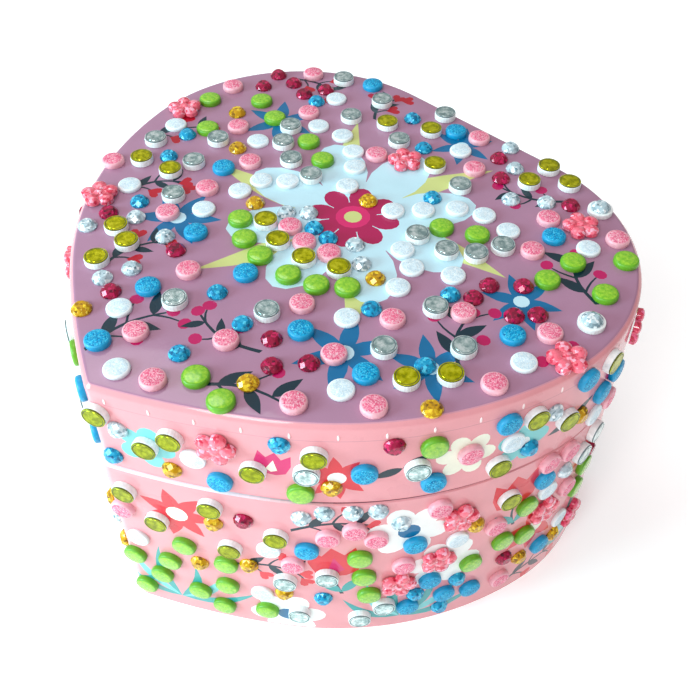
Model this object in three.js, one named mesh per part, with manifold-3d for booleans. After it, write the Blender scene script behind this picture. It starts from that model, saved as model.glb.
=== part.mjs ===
// A heart-shaped musical jewellery box of covered board: an open box, a lid that rests on it,
// and the stick-on gems that cover both. Millimetres, +Z up, the tip of the heart towards -Y.
import * as THREE from "three";
import { mergeVertices } from "three/addons/utils/BufferGeometryUtils.js";
import Module from "manifold-3d";

const wasm = await Module();
wasm.setup();

// Outline of the heart, seen from above
const WIDTH = 180;
const LENGTH = 164.5;
const TIP_RADIUS = 4;
const TIP_TURN = 25;
const FLANK_TURN = 10;
const HIP_RADIUS = 115;
const HIP_TURN = 42;

// Heights and board
const HEIGHT = 105;
const LID_HEIGHT = 33;
const WALL = 2.5;
const FLOOR = 3;
const LID_BOARD = 2.5;
const RIM_ROUND = 2;
const SEAM_GAP = 0.3;
const LID_INSET = 0.3;
const LID_ASKEW = [0.3, 0.8];

// Gems: size of each kind, how they are stuck on, and how near they may come. FACET_RISE is how far
// the true outline may stand off a facet of the wall, so every gem is sunk deeper than that.
const GEM_GAP = 0.5;
const GLUE_GAP = 0.3;
const FACET_RISE = 0.15;
const SUNK = FACET_RISE + 0.15;
const RIM_MARGIN = 1;
const EDGE_MARGIN = 0.4;
const SETTLE_PASSES = 80;
const FUSED_SIDES = 5;
const DISC_SIDES = 8;
const PETALS = 5;
const PETAL_STEPS = 4;

const STONE = { form: "stone", radius: 3, height: 2.2, taper: 0.55 };
const PILLOW = { form: "pillow", radius: 3.65, height: 2.2, taper: 0.78 };
const MIRROR = { form: "mirror", radius: 3.65, height: 2.5, taper: 1 };
const FLOWER = { form: "flower", radius: 5.8, height: 2.4 };
const KINDS = {
  pinkGlitter: { ...PILLOW },
  blueGlitter: { ...PILLOW },
  greenDisc: { ...PILLOW, radius: 3.8 },
  whiteGlitter: { ...PILLOW, height: 1.5 },
  yellowStone: { ...STONE },
  clearStone: { ...STONE },
  blueStone: { ...STONE },
  redStone: { ...STONE },
  limeMirror: { ...MIRROR, node: "lime_mirror_gem", colour: 0xb3b512 },
  silverMirror: { ...MIRROR, node: "silver_mirror_gem", colour: 0xa9c4c6 },
  foamStone: { form: "foamStone", radius: 3.9, height: 3.4, foam: 1.7, node: "foam_stone_gem", colour: 0xdde9ea },
  pinkFlower: { ...FLOWER, node: "pink_flower_gem", colour: 0xf2708e },
  redFlower: { ...FLOWER, node: "red_flower_gem", colour: 0xd8284f },
};

// Gems on the lid's top, in hundredths of the half width and of the half length
const TOP_GEMS = {
  pinkGlitter: [
    [-89, 46], [-66, 27], [-82, -24], [-46, 14], [-45, -9], [-44, -29], [-16, -44], [-73, 78],
    [-54, 55], [-16, 53], [4, 91], [15, 73], [-9, -2], [0, -5], [10, -3], [21, -28], [51, 68],
    [74, 76], [57, 49], [59, 7], [45, -12], [84, 19], [-6, -75], [13, -84], [16, -57], [48, -60],
    [43, -37], [65, -44], [84, -11],
  ],
  blueGlitter: [
    [-50, 4], [-29, -29], [-19, -59], [-2, -31], [-50, 90], [-5, 88], [58, 61], [76, 10],
    [-11, -86], [29, -37], [55, -36],
  ],
  whiteGlitter: [
    [-84, 10], [-54, 26], [-66, -29], [-36, -1], [-35, 9], [-28, 16], [-37, -18], [-18, -72],
    [-54, 71], [-45, 51], [-34, 53], [-24, 48], [-17, 41], [-11, 30], [4, 79], [10, 31],
    [17, 40], [25, 49], [34, 53], [45, 52], [26, 17], [34, 12], [37, 1], [46, 19], [69, 65],
    [2, -89], [35, -22], [54, -46], [85, 3],
  ],
  greenDisc: [
    [-88, 32], [-73, 47], [-60, 42], [-73, 17], [-23, -12], [-15, -19], [-5, -21], [8, -20],
    [18, -18], [25, -11], [-40, 40], [-28, 35], [28, 36], [39, 42], [70, 54], [69, 40],
    [82, 68], [86, 48], [21, -74], [33, -75],
  ],
  limeMirror: [
    [-27, 72], [-12, 81], [-75, -15], [3, 63], [34, 94], [-62, -12], [34, 81], [45, 91],
    [-16, -7], [-50, -47], [-41, -50], [-5, -11], [6, -12], [-41, -63], [18, -7], [73, -18],
    [65, -29],
  ],
  silverMirror: [
    [-81, -3], [-65, 15], [-60, -2], [-50, -21], [-8, -57], [-46, 32], [-36, 26], [-52, 42],
    [-24, 24], [-61, 84], [-39, 83], [-40, 65], [-15, 94], [-16, 66], [18, 60], [25, 26],
    [37, 27], [45, 33], [49, 43], [52, 2], [52, -24], [69, -6], [16, -39],
  ],
  foamStone: [[61, 86], [90, 33]],
  blueStone: [
    [-76, 9], [-70, -6], [-56, -32], [-2, -44], [-58, 64], [-23, 83], [-7, 70], [15, 47],
    [-3, 1], [4, 1], [51, 11], [38, -13], [10, -71], [14, -48], [65, -20],
  ],
  yellowStone: [[-74, 34], [-56, 17], [-27, -2], [-26, -81], [0, 29], [29, -1], [33, -64], [77, -32]],
  clearStone: [
    [-58, -54], [-50, -39], [-35, -38], [-30, -57], [-33, -67], [-15, 2], [-10, 8], [13, 7],
    [21, 1], [16, 95], [25, 85], [35, 68], [45, 76],
  ],
  redStone: [
    [-59, -44], [-27, -40], [-26, -69], [-83, 67], [-81, 56], [-74, 67], [-65, 64], [-61, 73],
    [17, 86], [25, 76], [52, 81], [57, 24], [65, 32], [57, 15], [71, 18], [76, 24], [25, -46],
    [33, -54], [40, -45],
  ],
  pinkFlower: [[-90, 20], [-68, -40], [-6, 58], [62, 72], [93, 14]],
};

// Gems on the walls, in thousandths of the way from the tip round to the middle of the back,
// and in hundredths of that wall's height
const LID_WALL_GEMS = {
  limeMirror: [[7, 70], [54, 42], [83, 61], [225, 65], [164, 38], [450, 67], [493, 43], [413, 19], [550, 85]],
  clearStone: [[26, 55], [471, 61]],
  blueStone: [[12, 16], [192, 75], [450, 25]],
  pinkFlower: [[128, 60], [-215, 76]],
  redFlower: [[634, 64]],
  whiteGlitter: [[104, 40], [427, 43], [551, 13]],
  yellowStone: [[77, 17], [241, 22], [516, 33]],
  blueGlitter: [
    [-20, 80], [128, 15], [273, 42], [343, 19], [417, 72], [512, 82], [551, 43], [573, 52], [-30, 16],
  ],
  silverMirror: [[217, 42], [325, 42], [-34, 50], [-106, 76]],
  greenDisc: [[210, 14], [340, 67], [-78, 74]],
  redStone: [[301, 74], [-296, 82]],
  pinkGlitter: [[379, 47], [572, 15], [-597, 84], [-560, 80]],
};
const BASE_WALL_GEMS = {
  limeMirror: [[19, 87], [116, 90], [50, 71], [131, 62], [184, 76], [439, 82]],
  pinkGlitter: [
    [10, 73], [239, 78], [267, 83], [290, 76], [200, 56], [357, 91], [322, 53], [429, 64],
    [451, 15], [532, 63], [487, 96], [517, 94],
  ],
  yellowStone: [[116, 78], [90, 44], [149, 50], [187, 31], [402, 71], [477, 25], [530, 25], [-20, 68], [-20, 36]],
  redStone: [[150, 84], [452, 32], [569, 77]],
  whiteGlitter: [[18, 52], [174, 65], [161, 28], [381, 63], [495, 72], [542, 35]],
  greenDisc: [
    [76, 56], [8, 37], [53, 40], [38, 26], [12, 12], [123, 48], [120, 30], [84, 20], [112, 11],
    [165, 14], [273, 62], [278, 47], [286, 32], [404, 41], [443, 49], [475, 45], [470, 69],
    [558, 53], [565, 67],
  ],
  clearStone: [[212, 91], [236, 95], [265, 97], [291, 96], [316, 85], [520, 79], [-22, 54]],
  blueGlitter: [[216, 68], [333, 68], [355, 36], [409, 18], [375, 21], [331, 17], [486, 84], [511, 26]],
  blueStone: [[232, 29], [390, 30], [339, 26], [372, 9]],
  silverMirror: [[190, 42], [237, 48], [204, 15], [274, 12], [302, 21], [564, 90], [546, 84]],
  pinkFlower: [[381, 81], [363, 53], [316, 38], [499, 58], [-420, 55]],
  redFlower: [[565, 29]],
};

// Plainer rows on the far sides: where they start and end, and the kinds they repeat
const FAR_SIDES = [[-120, -980], [660, 980]];
const LID_FAR_ROWS = { spacing: 34, heights: [45], kinds: ["greenDisc", "whiteGlitter", "redStone", "blueGlitter"] };
const BASE_FAR_ROWS = {
  spacing: 34,
  heights: [72, 30],
  kinds: ["pinkGlitter", "yellowStone", "whiteGlitter", "blueStone", "greenDisc"],
};

const BASE_TOP = HEIGHT - LID_HEIGHT - SEAM_GAP;
const LID_BOTTOM = HEIGHT - LID_HEIGHT;

// Right half of the outline as tangent arcs from the tip to the straight back
function outlineArcs() {
  const h1 = THREE.MathUtils.degToRad(TIP_TURN);
  const h2 = h1 + THREE.MathUtils.degToRad(FLANK_TURN);
  const h3 = h2 + THREE.MathUtils.degToRad(HIP_TURN);
  const spanX = WIDTH / 2 - TIP_RADIUS * Math.sin(h1) - HIP_RADIUS * (Math.sin(h3) - Math.sin(h2));
  const spanY = LENGTH - TIP_RADIUS * (1 - Math.cos(h1)) - HIP_RADIUS * (Math.cos(h2) - Math.cos(h3));
  const ax = Math.sin(h2) - Math.sin(h1);
  const bx = 1 - Math.sin(h3);
  const ay = Math.cos(h1) - Math.cos(h2);
  const by = Math.cos(h3) + 1;
  const det = ax * by - bx * ay;
  const flank = (spanX * by - bx * spanY) / det;
  const lobe = (ax * spanY - spanX * ay) / det;
  const arcs = [];
  let x = 0;
  let y = -LENGTH / 2;
  const turns = [[TIP_RADIUS, 0, h1], [flank, h1, h2], [HIP_RADIUS, h2, h3], [lobe, h3, Math.PI]];
  for (const [radius, from, to] of turns) {
    const cx = x - radius * Math.sin(from);
    const cy = y + radius * Math.cos(from);
    arcs.push({ cx, cy, radius, from, to });
    x = cx + radius * Math.sin(to);
    y = cy - radius * Math.cos(to);
  }
  return arcs;
}

const ARCS = outlineArcs();
const BACK_HALF = ARCS[3].cx;
const HALF_RUN = ARCS.reduce((sum, a) => sum + a.radius * (a.to - a.from), BACK_HALF);

// Point and outward normal of the outline, a signed run from the tip
function outlineAt(run) {
  const side = run < 0 ? -1 : 1;
  let left = Math.min(Math.abs(run), HALF_RUN);
  for (const arc of ARCS) {
    const length = arc.radius * (arc.to - arc.from);
    if (left <= length) {
      const heading = arc.from + left / arc.radius;
      const nx = Math.sin(heading);
      const ny = -Math.cos(heading);
      return { x: side * (arc.cx + arc.radius * nx), y: arc.cy + arc.radius * ny, nx: side * nx, ny };
    }
    left -= length;
  }
  return { x: side * (BACK_HALF - left), y: LENGTH / 2, nx: 0, ny: 1 };
}

// The closed outline, grown by an offset and moved
function outlinePoints(offset = 0, shift = [0, 0]) {
  const right = [];
  for (const arc of ARCS) {
    const steps = Math.ceil((arc.to - arc.from) / (2 * Math.acos(1 - FACET_RISE / arc.radius)));
    for (let i = right.length ? 1 : 0; i <= steps; i++) {
      const heading = arc.from + ((arc.to - arc.from) * i) / steps;
      const r = arc.radius + offset;
      right.push([arc.cx + r * Math.sin(heading), arc.cy - r * Math.cos(heading)]);
    }
  }
  const left = right.slice(1).reverse().map(([x, y]) => [-x, y]);
  return [...right, ...left].map(([x, y]) => new THREE.Vector2(x + shift[0], y + shift[1]));
}

// A closed geometry as a solid, and a solid back as a flat-shaded geometry
function solidOf(geometry) {
  const bare = geometry.clone();
  bare.deleteAttribute("normal");
  bare.deleteAttribute("uv");
  const merged = mergeVertices(bare, 1e-4);
  return new wasm.Manifold(
    new wasm.Mesh({
      numProp: 3,
      vertProperties: new Float32Array(merged.attributes.position.array),
      triVerts: new Uint32Array(merged.index.array),
    }),
  );
}

function geometryOf(solid) {
  const mesh = solid.getMesh();
  const geometry = new THREE.BufferGeometry();
  geometry.setAttribute("position", new THREE.BufferAttribute(mesh.vertProperties, 3));
  geometry.setIndex(new THREE.BufferAttribute(mesh.triVerts, 1));
  const flat = geometry.toNonIndexed();
  flat.computeVertexNormals();
  return flat;
}

// A straight prism of the outline between two levels
function prism(points, bottom, top) {
  const geometry = new THREE.ExtrudeGeometry(new THREE.Shape(points), { depth: top - bottom, bevelEnabled: false });
  return solidOf(geometry.translate(0, 0, bottom));
}

function baseShell() {
  const outer = prism(outlinePoints(), 0, BASE_TOP);
  return outer.subtract(prism(outlinePoints(-WALL), FLOOR, HEIGHT));
}

function lidShell() {
  const body = new THREE.ExtrudeGeometry(new THREE.Shape(outlinePoints(-LID_INSET - RIM_ROUND, LID_ASKEW)), {
    depth: LID_HEIGHT,
    bevelThickness: RIM_ROUND,
    bevelSize: RIM_ROUND,
    bevelSegments: 2,
  });
  body.translate(0, 0, LID_BOTTOM - RIM_ROUND);
  const below = new THREE.BoxGeometry(2 * WIDTH, 2 * LENGTH, LID_HEIGHT);
  below.translate(0, 0, LID_BOTTOM - LID_HEIGHT / 2);
  const outer = solidOf(body).subtract(solidOf(below));
  return outer.subtract(prism(outlinePoints(-LID_INSET - WALL, LID_ASKEW), 0, HEIGHT - LID_BOARD));
}

// One gem standing on z = 0
function gemGeometry(kind, sides) {
  const { form, radius, height, foam, taper } = KINDS[kind];
  if (form === "flower") return flowerGeometry(radius, height);
  if (form !== "foamStone") return frustum(radius, taper * radius, height, sides);
  const crown = [[0, 0], [radius, 0], [radius, foam], [STONE.radius, foam]];
  const points = [...crown, [STONE.taper * STONE.radius, height], [0, height]];
  return new THREE.LatheGeometry(points.map(([x, y]) => new THREE.Vector2(x, y)), sides).rotateX(Math.PI / 2);
}

function frustum(bottom, top, height, sides) {
  const corners = Array.from({ length: sides }, (_, i) => {
    const turn = (2 * Math.PI * i) / sides;
    return new THREE.Vector2(bottom * Math.cos(turn), bottom * Math.sin(turn));
  });
  const geometry = new THREE.ExtrudeGeometry(new THREE.Shape(corners), { depth: height, bevelEnabled: false });
  const position = geometry.attributes.position;
  for (let i = 0; i < position.count; i++) {
    const scale = position.getZ(i) > 0 ? top / bottom : 1;
    position.setXY(i, scale * position.getX(i), scale * position.getY(i));
  }
  geometry.computeVertexNormals();
  return geometry;
}

// Round petals about a centre, joined where their circles meet
function flowerGeometry(radius, height) {
  const petal = 0.4 * radius;
  const reach = radius - petal;
  const half = Math.PI / PETALS;
  const spread = half + Math.asin((reach * Math.sin(half)) / petal);
  const points = [];
  for (let k = 0; k < PETALS; k++) {
    const middle = 2 * half * k;
    for (let i = 0; i < PETAL_STEPS; i++) {
      const turn = middle + spread * ((2 * i) / PETAL_STEPS - 1);
      points.push(
        new THREE.Vector2(
          reach * Math.cos(middle) + petal * Math.cos(turn),
          reach * Math.sin(middle) + petal * Math.sin(turn),
        ),
      );
    }
  }
  return new THREE.ExtrudeGeometry(new THREE.Shape(points), { depth: height, bevelEnabled: false });
}

// The gems of a table as a list with their kind and place on the surface
function gemsOf(table, scaleX, scaleY) {
  return Object.entries(table).flatMap(([kind, places]) =>
    places.map(([a, b]) => ({ kind, u: a * scaleX, v: b * scaleY, radius: KINDS[kind].radius })),
  );
}

function farGems({ spacing, heights, kinds }, scaleY) {
  const gems = [];
  heights.forEach((height, row) => {
    for (const [from, to] of FAR_SIDES) {
      const span = (Math.abs(to - from) / 1000) * HALF_RUN;
      const count = Math.floor(span / spacing);
      for (let i = 0; i < count; i++) {
        const share = (i + 0.25 + 0.5 * (row % 2)) / count;
        const kind = kinds[(i + 2 * row) % kinds.length];
        const u = ((from + (to - from) * share) / 1000) * HALF_RUN;
        gems.push({ kind, u, v: height * scaleY, radius: KINDS[kind].radius });
      }
    }
  });
  return gems;
}

// Nudges the gems of one surface apart until none touch, keeping each inside its bounds
function settle(gems, bound) {
  for (let pass = 0; pass < SETTLE_PASSES; pass++) {
    gems.forEach((a, i) => {
      for (const b of gems.slice(i + 1)) {
        const du = b.u - a.u;
        const dv = b.v - a.v;
        const distance = Math.hypot(du, dv) || 1e-6;
        const short = a.radius + b.radius + GEM_GAP - distance;
        if (short > 0) {
          const push = (0.5 * short) / distance;
          a.u -= du * push;
          a.v -= dv * push;
          b.u += du * push;
          b.v += dv * push;
        }
      }
    });
    gems.forEach(bound);
  }
  return gems;
}

// Keeps a gem's centre a margin inside the lid's edge
const EDGE = outlinePoints(-LID_INSET);
function boundTop(gem) {
  let best = { distance: Infinity };
  EDGE.forEach((p, i) => {
    const q = EDGE[(i + 1) % EDGE.length];
    const edge = new THREE.Vector2().subVectors(q, p);
    const nx = edge.y / edge.length();
    const ny = -edge.x / edge.length();
    const distance = (p.x - gem.u) * nx + (p.y - gem.v) * ny;
    if (distance < best.distance) best = { distance, nx, ny };
  });
  const short = RIM_ROUND + RIM_MARGIN - best.distance;
  if (short > 0) {
    gem.u -= best.nx * short;
    gem.v -= best.ny * short;
  }
}

// Keeps a gem's rim inside a wall between two levels
function boundWall(bottom, top) {
  return (gem) => {
    gem.v = Math.min(Math.max(gem.v, bottom + gem.radius + EDGE_MARGIN), top - gem.radius - EDGE_MARGIN);
  };
}

// Places for a gem's own frame: on the top, or on a wall with its face outwards
function topFrame(gem, lift) {
  return new THREE.Matrix4().makeTranslation(gem.u + LID_ASKEW[0], gem.v + LID_ASKEW[1], HEIGHT + lift);
}

function wallFrame(gem, lift, offset, shift) {
  const at = outlineAt(gem.u);
  const out = new THREE.Vector3(at.nx, at.ny, 0);
  const up = new THREE.Vector3(0, 0, 1);
  const along = new THREE.Vector3().crossVectors(up, out);
  const frame = new THREE.Matrix4().makeBasis(along, up, out);
  const reach = offset + lift;
  return frame.setPosition(at.x + reach * at.nx + shift[0], at.y + reach * at.ny + shift[1], gem.v);
}

// Joins the small gems to their board and gives the others a mesh of their own
const counts = {};
function dress(shell, gems, frameOf, group) {
  let solid = shell;
  for (const gem of gems) {
    const { node, colour } = KINDS[gem.kind];
    const own = node && (gem.onTop || KINDS[gem.kind].form === "flower");
    if (!own) {
      const geometry = gemGeometry(gem.kind, FUSED_SIDES);
      solid = solid.add(solidOf(geometry.applyMatrix4(frameOf(gem, -SUNK))));
      continue;
    }
    counts[node] = (counts[node] ?? 0) + 1;
    const material = new THREE.MeshStandardMaterial({ color: colour, roughness: 0.2, metalness: 0.1 });
    const mesh = new THREE.Mesh(gemGeometry(gem.kind, DISC_SIDES), material);
    mesh.name = `${node}_${String(counts[node]).padStart(2, "0")}`;
    frameOf(gem, GLUE_GAP).decompose(mesh.position, mesh.quaternion, mesh.scale);
    group.add(mesh);
  }
  return solid;
}

function boardMesh(name, solid, colour) {
  const material = new THREE.MeshStandardMaterial({ color: colour, roughness: 0.25, metalness: 0 });
  const mesh = new THREE.Mesh(geometryOf(solid), material);
  mesh.name = name;
  return mesh;
}

function lid(group) {
  const top = gemsOf(TOP_GEMS, WIDTH / 200, LENGTH / 200).map((gem) => ({ ...gem, onTop: true }));
  const scale = LID_HEIGHT / 100;
  const wall = [...gemsOf(LID_WALL_GEMS, HALF_RUN / 1000, scale), ...farGems(LID_FAR_ROWS, scale)];
  settle(top, boundTop);
  settle(wall, boundWall(0, LID_HEIGHT - RIM_ROUND));
  const onWall = (gem, lift) => wallFrame({ ...gem, v: gem.v + LID_BOTTOM }, lift, -LID_INSET, LID_ASKEW);
  const dressed = dress(dress(lidShell(), top, topFrame, group), wall, onWall, group);
  group.add(boardMesh("lid", dressed, 0xc98bb0));
}

function base(group) {
  const scale = BASE_TOP / 100;
  const wall = [...gemsOf(BASE_WALL_GEMS, HALF_RUN / 1000, scale), ...farGems(BASE_FAR_ROWS, scale)];
  settle(wall, boundWall(0, BASE_TOP));
  const onWall = (gem, lift) => wallFrame(gem, lift, 0, [0, 0]);
  group.add(boardMesh("base", dress(baseShell(), wall, onWall, group), 0xf3a9b0));
}

const musicBox = new THREE.Group();
base(musicBox);
lid(musicBox);

export default musicBox;
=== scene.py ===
import random
from math import acos, ceil, cos, degrees, hypot, pi, radians, sin, sqrt, tau

import bmesh
import bpy
from mathutils import Matrix, Vector
from mathutils.geometry import delaunay_2d_cdt

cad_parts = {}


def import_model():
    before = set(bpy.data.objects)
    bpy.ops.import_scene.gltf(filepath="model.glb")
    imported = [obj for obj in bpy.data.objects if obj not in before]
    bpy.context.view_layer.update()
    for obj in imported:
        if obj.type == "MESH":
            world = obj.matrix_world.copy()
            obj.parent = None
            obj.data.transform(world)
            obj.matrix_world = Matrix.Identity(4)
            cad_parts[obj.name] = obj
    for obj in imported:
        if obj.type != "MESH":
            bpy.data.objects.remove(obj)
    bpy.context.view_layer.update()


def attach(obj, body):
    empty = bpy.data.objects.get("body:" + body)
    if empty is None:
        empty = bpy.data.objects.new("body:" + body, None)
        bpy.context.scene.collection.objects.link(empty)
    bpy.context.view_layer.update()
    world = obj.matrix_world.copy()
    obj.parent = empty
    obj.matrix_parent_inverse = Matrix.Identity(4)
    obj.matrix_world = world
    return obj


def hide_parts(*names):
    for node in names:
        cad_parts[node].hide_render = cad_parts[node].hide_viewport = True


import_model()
MM, TINY = 0.001, 1e-6

# Sizes of the box and the room that its gems keep, in millimetres and degrees, as in the solids
WIDTH, LENGTH, HEIGHT, LID_HEIGHT = 180.0, 164.5, 105.0, 33.0
TIP_RADIUS, TIP_TURN, FLANK_TURN, HIP_RADIUS, HIP_TURN = 4.0, 25.0, 10.0, 115.0, 42.0
WALL, FLOOR, LID_BOARD, RIM_ROUND, FACET_RISE = 2.5, 3.0, 2.5, 2.0, 0.15
SEAM_GAP, LID_INSET, LID_ASKEW = 0.3, 0.3, (0.3, 0.8)
GEM_GAP, RIM_MARGIN, EDGE_MARGIN, SETTLE_PASSES = 0.5, 1.0, 0.4, 80
PETALS, PETAL_SHARE = 5, 0.4
BASE_TOP = HEIGHT - LID_HEIGHT - SEAM_GAP
LID_BOTTOM = HEIGHT - LID_HEIGHT

# Glue under a flower, how deep one part sinks into another, and how fine the curves are
GLUE_GAP, SUNK = 0.3, 0.1
FINE_TURN, FINE_RUN, DISC_SIDES, FOIL_SIDES = 3.0, 3.0, 24, 28

# Each kind of gem: its form, radius and height
KINDS = {
    "pink_glitter": ("pillow", 3.65, 2.2), "blue_glitter": ("pillow", 3.65, 2.2),
    "green": ("pillow", 3.8, 2.2), "white_glitter": ("pillow", 3.65, 1.5),
    "amber_stone": ("stone", 3.0, 2.2), "clear_stone": ("stone", 3.0, 2.2),
    "blue_stone": ("stone", 3.0, 2.2), "crimson_stone": ("stone", 3.0, 2.2),
    "lime_mirror": ("mirror", 3.65, 2.5), "silver_mirror": ("mirror", 3.65, 2.5),
    "foam_stone": ("foam_stone", 3.9, 3.4),
    "pink_flower": ("flower", 5.8, 2.4), "red_flower": ("flower", 5.8, 2.4),
}

# For each form: the angle from which its edges stay sharp, and the ending of a group's name
FORMS = {
    "pillow": (40, "_discs"), "mirror": (12, "_discs"), "stone": (3, "s"), "foam_stone": (12, ""),
    "flower": (40, ""),
}

# Gems on the lid's top, in hundredths of the half width and of the half length
TOP_GEMS = {
    "pink_glitter": [
        (-89, 46), (-66, 27), (-82, -24), (-46, 14), (-45, -9), (-44, -29), (-16, -44), (-73, 78), (-54, 55),
        (-16, 53), (4, 91), (15, 73), (-9, -2), (0, -5), (10, -3), (21, -28), (51, 68), (74, 76), (57, 49),
        (59, 7), (45, -12), (84, 19), (-6, -75), (13, -84), (16, -57), (48, -60), (43, -37), (65, -44),
        (84, -11)],
    "blue_glitter": [
        (-50, 4), (-29, -29), (-19, -59), (-2, -31), (-50, 90), (-5, 88), (58, 61), (76, 10), (-11, -86),
        (29, -37), (55, -36)],
    "white_glitter": [
        (-84, 10), (-54, 26), (-66, -29), (-36, -1), (-35, 9), (-28, 16), (-37, -18), (-18, -72), (-54, 71),
        (-45, 51), (-34, 53), (-24, 48), (-17, 41), (-11, 30), (4, 79), (10, 31), (17, 40), (25, 49),
        (34, 53), (45, 52), (26, 17), (34, 12), (37, 1), (46, 19), (69, 65), (2, -89), (35, -22), (54, -46),
        (85, 3)],
    "green": [
        (-88, 32), (-73, 47), (-60, 42), (-73, 17), (-23, -12), (-15, -19), (-5, -21), (8, -20), (18, -18),
        (25, -11), (-40, 40), (-28, 35), (28, 36), (39, 42), (70, 54), (69, 40), (82, 68), (86, 48),
        (21, -74), (33, -75)],
    "lime_mirror": [
        (-27, 72), (-12, 81), (-75, -15), (3, 63), (34, 94), (-62, -12), (34, 81), (45, 91), (-16, -7),
        (-50, -47), (-41, -50), (-5, -11), (6, -12), (-41, -63), (18, -7), (73, -18), (65, -29)],
    "silver_mirror": [
        (-81, -3), (-65, 15), (-60, -2), (-50, -21), (-8, -57), (-46, 32), (-36, 26), (-52, 42), (-24, 24),
        (-61, 84), (-39, 83), (-40, 65), (-15, 94), (-16, 66), (18, 60), (25, 26), (37, 27), (45, 33),
        (49, 43), (52, 2), (52, -24), (69, -6), (16, -39)],
    "foam_stone": [(61, 86), (90, 33)],
    "blue_stone": [
        (-76, 9), (-70, -6), (-56, -32), (-2, -44), (-58, 64), (-23, 83), (-7, 70), (15, 47), (-3, 1), (4, 1),
        (51, 11), (38, -13), (10, -71), (14, -48), (65, -20)],
    "amber_stone": [(-74, 34), (-56, 17), (-27, -2), (-26, -81), (0, 29), (29, -1), (33, -64), (77, -32)],
    "clear_stone": [
        (-58, -54), (-50, -39), (-35, -38), (-30, -57), (-33, -67), (-15, 2), (-10, 8), (13, 7), (21, 1),
        (16, 95), (25, 85), (35, 68), (45, 76)],
    "crimson_stone": [
        (-59, -44), (-27, -40), (-26, -69), (-83, 67), (-81, 56), (-74, 67), (-65, 64), (-61, 73), (17, 86),
        (25, 76), (52, 81), (57, 24), (65, 32), (57, 15), (71, 18), (76, 24), (25, -46), (33, -54),
        (40, -45)],
    "pink_flower": [(-90, 20), (-68, -40), (-6, 58), (62, 72), (93, 14)],
}

# Gems on the walls, in thousandths of the way from the tip round to the middle of the back,
# and in hundredths of that wall's height
LID_WALL_GEMS = {
    "lime_mirror": [
        (7, 70), (54, 42), (83, 61), (225, 65), (164, 38), (450, 67), (493, 43), (413, 19), (550, 85)],
    "clear_stone": [(26, 55), (471, 61)],
    "blue_stone": [(12, 16), (192, 75), (450, 25)],
    "pink_flower": [(128, 60), (-215, 76)],
    "red_flower": [(634, 64)],
    "white_glitter": [(104, 40), (427, 43), (551, 13)],
    "amber_stone": [(77, 17), (241, 22), (516, 33)],
    "blue_glitter": [
        (-20, 80), (128, 15), (273, 42), (343, 19), (417, 72), (512, 82), (551, 43), (573, 52), (-30, 16)],
    "silver_mirror": [(217, 42), (325, 42), (-34, 50), (-106, 76)],
    "green": [(210, 14), (340, 67), (-78, 74)],
    "crimson_stone": [(301, 74), (-296, 82)],
    "pink_glitter": [(379, 47), (572, 15), (-597, 84), (-560, 80)],
}
BASE_WALL_GEMS = {
    "lime_mirror": [(19, 87), (116, 90), (50, 71), (131, 62), (184, 76), (439, 82)],
    "pink_glitter": [
        (10, 73), (239, 78), (267, 83), (290, 76), (200, 56), (357, 91), (322, 53), (429, 64), (451, 15),
        (532, 63), (487, 96), (517, 94)],
    "amber_stone": [
        (116, 78), (90, 44), (149, 50), (187, 31), (402, 71), (477, 25), (530, 25), (-20, 68), (-20, 36)],
    "crimson_stone": [(150, 84), (452, 32), (569, 77)],
    "white_glitter": [(18, 52), (174, 65), (161, 28), (381, 63), (495, 72), (542, 35)],
    "green": [
        (76, 56), (8, 37), (53, 40), (38, 26), (12, 12), (123, 48), (120, 30), (84, 20), (112, 11), (165, 14),
        (273, 62), (278, 47), (286, 32), (404, 41), (443, 49), (475, 45), (470, 69), (558, 53), (565, 67)],
    "clear_stone": [(212, 91), (236, 95), (265, 97), (291, 96), (316, 85), (520, 79), (-22, 54)],
    "blue_glitter": [(216, 68), (333, 68), (355, 36), (409, 18), (375, 21), (331, 17), (486, 84), (511, 26)],
    "blue_stone": [(232, 29), (390, 30), (339, 26), (372, 9)],
    "silver_mirror": [(190, 42), (237, 48), (204, 15), (274, 12), (302, 21), (564, 90), (546, 84)],
    "pink_flower": [(381, 81), (363, 53), (316, 38), (499, 58), (-420, 55)],
    "red_flower": [(565, 29)],
}

# Gems on the sides that the photo hides: their stretches, and each wall's spacing, rows and kinds
FAR_SIDES = [(-120, -980), (660, 980)]
LID_FAR_ROWS = (34, [45], ["green", "white_glitter", "crimson_stone", "blue_glitter"])
BASE_FAR_ROWS = (34, [72, 30], ["pink_glitter", "amber_stone", "white_glitter", "blue_stone", "green"])
FAR_START, FAR_SHIFT = 0.25, 0.5


# The heart's outline, as tangent arcs from the tip to the straight back

def outline_arcs():
    """The right half's arcs: centre, radius and headings. The flank's and the lobe's radii close it."""
    h1 = radians(TIP_TURN)
    h2 = h1 + radians(FLANK_TURN)
    h3 = h2 + radians(HIP_TURN)
    span_x = WIDTH / 2 - TIP_RADIUS * sin(h1) - HIP_RADIUS * (sin(h3) - sin(h2))
    span_y = LENGTH - TIP_RADIUS * (1 - cos(h1)) - HIP_RADIUS * (cos(h2) - cos(h3))
    ax, bx = sin(h2) - sin(h1), 1 - sin(h3)
    ay, by = cos(h1) - cos(h2), cos(h3) + 1
    det = ax * by - bx * ay
    flank = (span_x * by - bx * span_y) / det
    lobe = (ax * span_y - span_x * ay) / det
    arcs, x, y = [], 0.0, -LENGTH / 2
    for radius, a, b in ((TIP_RADIUS, 0, h1), (flank, h1, h2), (HIP_RADIUS, h2, h3), (lobe, h3, pi)):
        cx, cy = x - radius * sin(a), y + radius * cos(a)
        arcs.append((cx, cy, radius, a, b))
        x, y = cx + radius * sin(b), cy - radius * cos(b)
    return arcs


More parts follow.
